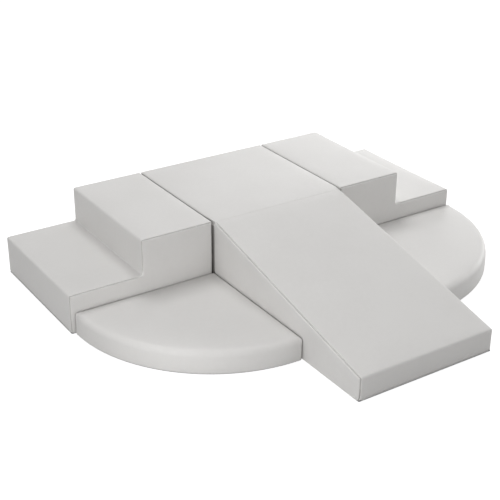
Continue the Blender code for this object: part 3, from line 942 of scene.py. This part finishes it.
def add_base_panel(module):
    low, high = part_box(f"{module}_base_panel")
    if module.endswith("mat"):
        outline = quarter_outline(low, high, -1 if module.startswith("left") else 1)
    else:
        outline = rounded_outline(low, high, BASE_CORNER)
    zip_low, zip_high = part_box(f"{module}_zip")
    wall = Vector((LIP_WALL, LIP_WALL))
    slot_low = zip_low.xy + wall
    slot_high = zip_high.xy - wall
    slot = rounded_outline(slot_low, slot_high, LIP_WALL)
    cut_low = slot_low - wall / 2
    cut_high = slot_high + wall / 2
    cut = rounded_outline(cut_low, cut_high, LIP_WALL)
    edges = [(index, (index + 1) % len(outline)) for index in range(len(outline))]
    first = len(outline)
    edges += [(first + index, first + (index + 1) % len(cut)) for index in range(len(cut))]
    points, _, faces, _, _, _ = geometry.delaunay_2d_cdt(outline + cut, edges, [], 1, SNAP)
    shape = bmesh.new()
    corners = [shape.verts.new((point.x, point.y, 0)) for point in points]
    for face in faces:
        middle = sum((points[index] for index in face), Vector((0, 0))) / len(face)
        if not (cut_low.x < middle.x < cut_high.x and cut_low.y < middle.y < cut_high.y):
            shape.faces.new([corners[index] for index in face])
    raised = bmesh.ops.extrude_face_region(shape, geom=shape.faces[:])["geom"]
    top = [item for item in raised if isinstance(item, bmesh.types.BMVert)]
    bmesh.ops.translate(shape, verts=top, vec=(0, 0, BASE_THICKNESS))
    lip = rounded_outline(zip_low, zip_high, 2 * LIP_WALL)
    levels = ((slot, LIP_FOOT), (slot, LIP_HEIGHT), (lip, LIP_HEIGHT), (lip, LIP_FOOT))
    rings = []
    for ring, level in levels:
        rings.append([shape.verts.new((point.x, point.y, level)) for point in ring])
    add_walls(shape, rings + rings[:1])
    bmesh.ops.recalc_face_normals(shape, faces=shape.faces)
    panel = new_piece(f"{module}_base_fabric", shape, BASE)
    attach(panel, module)
    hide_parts(f"{module}_base_panel")

    border = inset_outline(outline, BASE_STITCH_INSET)
    rows = [border + border[:1]]
    for y in (slot_low.y - SLOT_STITCH_OFFSET, slot_high.y + SLOT_STITCH_OFFSET):
        rows.append([Vector((slot_low.x, y)), Vector((slot_high.x, y))])
    level = STITCH_THICKNESS * STITCH_LIFT_SHARE
    rows = [[Vector((point.x, point.y, level)) for point in row] for row in rows]
    sew(f"{module}_base_stitches", rows, BASE_THREAD, module)


BASE = base_finish()
BASE_THREAD = thread_finish("base_thread", (0.30, 0.30, 0.31, 1), (0.42, 0.42, 0.43, 1))
for module in covers:
    add_base_panel(module)


# Zips
# Woven tape on both sides of a row of metal teeth, sewn to the lips of the base panel's slot. The
# teeth alternate between the two tapes and mesh in the middle.
TAPE_THICKNESS = 0.001
TAPE_EDGE = 0.0003
TAPE_GAP = 0.0006
TAPE_RIB = 0.0008
TEETH_MARGIN = 0.017
TOOTH_SIZES = {
    "Pitch": 0.0016,
    "Length": 0.0011,
    "Width": 0.0036,
    "Height": 0.0020,
    "Reach": 0.0011,
}


def tape_finish():
    finish = Finish("woven_zip_tape", Roughness=0.85)
    place = finish.place
    fuzz = place.noise(0.0008, 3.0)
    bands = {"Vector": place, "Scale": 1 / (2 * math.pi * TAPE_RIB)}
    ribs = place.node("ShaderNodeTexWave", {"bands_direction": "X"}, bands, "Fac")
    tone = ribs * 0.6 + fuzz * 0.4
    finish.feed("Base Color", tone.tint((0.50, 0.49, 0.48, 1), (0.64, 0.63, 0.62, 1)))
    finish.feed("Normal", ribs.bump(0.0002, fuzz.bump(0.0001)))
    return finish.material


def metal_finish(name, brushed_along):
    """Satin metal with fine scratches, drawn out along one direction."""
    finish = Finish(name, Metallic=1.0)
    inputs = {"Vector": finish.place, "Scale": brushed_along}
    drawn = finish.place.node("ShaderNodeMapping", {}, inputs)
    scratches = drawn.noise(0.0004, 3.0)
    wear = finish.place.noise(0.006, 3.0)
    tone = wear.between(0.35, 0.65)
    finish.feed("Base Color", tone.tint((0.62, 0.61, 0.60, 1), (0.74, 0.73, 0.72, 1)))
    finish.feed("Roughness", scratches * 0.20 + 0.26 + wear * 0.08)
    finish.feed("Normal", scratches.bump(0.00003))
    return finish.material


def tooth_tree():
    """Sets a rounded tooth at every pitch along a line, each turned round from the one before."""
    tree, given = geometry_tree("zip_teeth", list(TOOTH_SIZES))
    mesh = given["Mesh"]
    path = mesh.node("GeometryNodeMeshToCurve", {}, {"Mesh": mesh})
    spacing = {"Curve": path, "Length": given["Pitch"]}
    stops = mesh.node("GeometryNodeResampleCurve", {"mode": "LENGTH"}, spacing)
    sizes = {"X": given["Length"], "Y": given["Width"], "Z": given["Height"]}
    size = mesh.node("ShaderNodeCombineXYZ", {}, sizes)
    block = mesh.node("GeometryNodeMeshCube", {}, {"Size": size})
    rounding = {"Mesh": block, "Level": 1, "Edge Crease": 0.6}
    rounded = mesh.node("GeometryNodeSubdivisionSurface", {}, rounding)
    offset = mesh.node("ShaderNodeCombineXYZ", {}, {"Y": given["Reach"]})
    tooth = mesh.node("GeometryNodeTransform", {}, {"Geometry": rounded, "Translation": offset})
    index = mesh.node("GeometryNodeInputIndex", {}, {})
    turn = mesh.node("ShaderNodeCombineXYZ", {}, {"Z": index % 2 * math.pi})
    inputs = {"Points": stops, "Instance": tooth, "Rotation": turn}
    return end_tree(tree, mesh.node("GeometryNodeInstanceOnPoints", {}, inputs), given["Material"])


def add_zip(module):
    low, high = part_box(f"{module}_zip")
    middle = (low.y + high.y) / 2
    tape_shape = bmesh.new()
    for side_low, side_high in ((low.y, middle - TAPE_GAP / 2), (middle + TAPE_GAP / 2, high.y)):
        half = box_shape((low.x, side_low, high.z - TAPE_THICKNESS), (high.x, side_high, high.z))
        bmesh.ops.bevel(half, geom=half.edges[:], offset=TAPE_EDGE, segments=2, affect="EDGES")
        mesh = bpy.data.meshes.new("half")
        half.to_mesh(mesh)
        half.free()
        tape_shape.from_mesh(mesh)
    tape = new_piece(f"{module}_zip_tape", tape_shape, TAPE)
    level = high.z - TAPE_THICKNESS - TOOTH_SIZES["Height"] / 2
    reach = LIP_WALL + TEETH_MARGIN
    line = [Vector((low.x + reach, middle, level)), Vector((high.x - reach, middle, level))]
    teeth = grow(f"{module}_zip_teeth", TEETH, [line], METAL, TOOTH_SIZES)
    for piece, material_slot in ((tape, "zip_tape"), (teeth, "zip_metal")):
        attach(piece, module)
        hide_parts(f"{module}_zip")


TAPE = tape_finish()
METAL = metal_finish("satin_zip_metal", (1, 1, 1))
TEETH = tooth_tree()
for module in covers:
    add_zip(module)


# Zip sliders and pulls
# Cast zinc with a satin nickel finish. The slider runs on the teeth, and the stamped pull hangs
# from its bail.
BRUSHED = metal_finish("brushed_pull_metal", (0.08, 1, 1))
for module in covers:
    for part, finish in (("slider", METAL), ("pull", BRUSHED)):
        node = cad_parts[f"{module}_zip_{part}"]
        node.data.materials.clear()
        node.data.materials.append(finish)


# Hook-and-loop strips
# Nylon tape with a woven selvage round a field of hooks or of soft loops. Each strip is sewn to
# the face that meets the next module.
STRIP_CORNER = 0.006
SELVAGE = 0.004
SELVAGE_SHARE = 0.6
HOOK_SPACING = 0.0018


def strip_finish(name, pile, dark, light):
    """Nylon tape: a woven selvage, and a field whose pile is made by the function that is given."""
    finish = Finish(name, Roughness=0.85)
    field = finish.mark("field")
    weave = finish.place.noise(0.0009, 3.0)
    tufts = pile(finish.place) * field
    finish.feed("Base Color", (tufts + weave * (1 - field)).tint(dark, light))
    finish.feed("Normal", tufts.bump(0.0008, weave.bump(0.0002)))
    return finish.material


def hooks(place):
    return 1 - place.cells(HOOK_SPACING, spread=0.25).between(0.15, 0.45)


def loops(place):
    return place.noise(0.0022, 5.0).between(0.3, 0.7)


def add_strip(node, module, finish):
    """A rounded tape on a module's face, its field raised above the selvage, and its stitches."""
    low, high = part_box(node)
    cover_low, cover_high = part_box(f"{module}_cover")
    size = high - low
    axis = 0 if size.x < size.y else 1
    along = 1 - axis
    outward = math.copysign(1, low[axis] + high[axis] - cover_low[axis] - cover_high[axis])
    face = low[axis] if outward > 0 else high[axis]

    def place(point, height):
        spot = Vector((0, 0, point.y))
        spot[along] = point.x
        spot[axis] = face + outward * size[axis] * height
        return spot

    outline = rounded_outline((low[along], low.z), (high[along], high.z), STRIP_CORNER)
    field = inset_outline(outline, SELVAGE)
    shape = bmesh.new()
    marks = shape.verts.layers.float.new("field")
    levels = ((outline, 0), (outline, SELVAGE_SHARE), (field, SELVAGE_SHARE), (field, 1))
    rings = [[shape.verts.new(place(point, height)) for point in ring] for ring, height in levels]
    for vertex in rings[-1]:
        vertex[marks] = 1
    add_walls(shape, rings)
    shape.faces.new(rings[0])
    shape.faces.new(rings[-1])
    bmesh.ops.recalc_face_normals(shape, faces=shape.faces)
    strip = new_piece(f"{node}_tape", shape, finish)
    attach(strip, module)
    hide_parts(node)
    row = [place(point, SELVAGE_SHARE) for point in inset_outline(outline, SELVAGE / 2)]
    sew(f"{node}_stitches", [row + row[:1]], COVER_THREAD, module)


HOOK_TAPE = strip_finish("hook_tape", hooks, (0.60, 0.59, 0.58, 1), (0.80, 0.79, 0.78, 1))
LOOP_TAPE = strip_finish("loop_tape", loops, (0.58, 0.57, 0.56, 1), (0.76, 0.75, 0.74, 1))
for node in sorted(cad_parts):
    if "_strip" in node:
        module = next(module for module in covers if node.startswith(module))
        if "hook" in node:
            add_strip(node, module, HOOK_TAPE)
        else:
            add_strip(node, module, LOOP_TAPE)


# Floor and light
# A pale floor that looks white to the camera and keeps the soft shadow under the set, an even sky,
# a large soft lamp high behind the set, low softboxes round it, and a small one at the front left.
FLOOR_SIZE = 40.0
FLOOR_TONE = 0.4
FLOOR_GLOW = 0.85
SKY = 0.317


def seen(signal):
    """1 where a camera, glossy or transmission ray looks, and 0 for light that only bounces."""
    rays = signal.tree.nodes.new("ShaderNodeLightPath").outputs
    looks = Signal(signal.tree, rays["Is Camera Ray"])
    for kind in ("Is Glossy Ray", "Is Transmission Ray"):
        looks = signal.sum("MAXIMUM", looks, Signal(signal.tree, rays[kind]))
    return looks


floor_finish = Finish("pale_floor", Roughness=1.0, Specular_IOR_Level=0.0)
floor_finish.shader.inputs["Base Color"].default_value = (FLOOR_TONE, FLOOR_TONE, FLOOR_TONE, 1)
glow = seen(floor_finish.place).tint((0, 0, 0, 1), (FLOOR_GLOW, FLOOR_GLOW, FLOOR_GLOW, 1))
floor_finish.feed("Emission Color", glow)
floor_finish.shader.inputs["Emission Strength"].default_value = 1
floor_shape = bmesh.new()
bmesh.ops.create_grid(floor_shape, x_segments=1, y_segments=1, size=FLOOR_SIZE / 2)
floor = new_piece("floor", floor_shape, floor_finish.material)

world = bpy.data.worlds.new("sky")
world.use_nodes = True
scene.world = world
background = world.node_tree.nodes["Background"]
background.inputs["Color"].default_value = (1, 1, 1, 1)
sky = seen(Signal(world.node_tree)) * (1 - SKY) + SKY
world.node_tree.links.new(sky.socket, background.inputs["Strength"])


def add_softbox(name, place, aim, size, power):
    """A square soft lamp that the camera doesn't see."""
    lamp = bpy.data.objects.new(name, bpy.data.lights.new(name, "AREA"))
    lamp.data.energy = power
    lamp.data.size = size
    turned = (Vector(aim) - Vector(place)).to_track_quat("-Z", "Y").to_matrix()
    lamp.matrix_world = Matrix.Translation(place) @ turned.to_4x4()
    lamp.visible_camera = False
    scene.collection.objects.link(lamp)


MIDDLE = (0, -0.3, 0.1)
LEFT_MAT_MIDDLE = (-0.4, -0.5, 0.1)
LARGE = 2.5
SMALL = 0.8
add_softbox("high_lamp", (0, 1.41, 4.80), MIDDLE, LARGE, 110)
add_softbox("right_lamp", (4.92, -0.3, 0.97), MIDDLE, LARGE, 105)
add_softbox("rear_right_lamp", (3.48, 3.18, 0.97), MIDDLE, LARGE, 58)
add_softbox("front_lamp", (0, -5.22, 0.97), MIDDLE, LARGE, 45)
add_softbox("left_lamp", (-4.92, -0.3, 0.97), MIDDLE, LARGE, 42)
add_softbox("near_lamp", (-1.3, -1.3, 0.3), LEFT_MAT_MIDDLE, SMALL, 4.4)
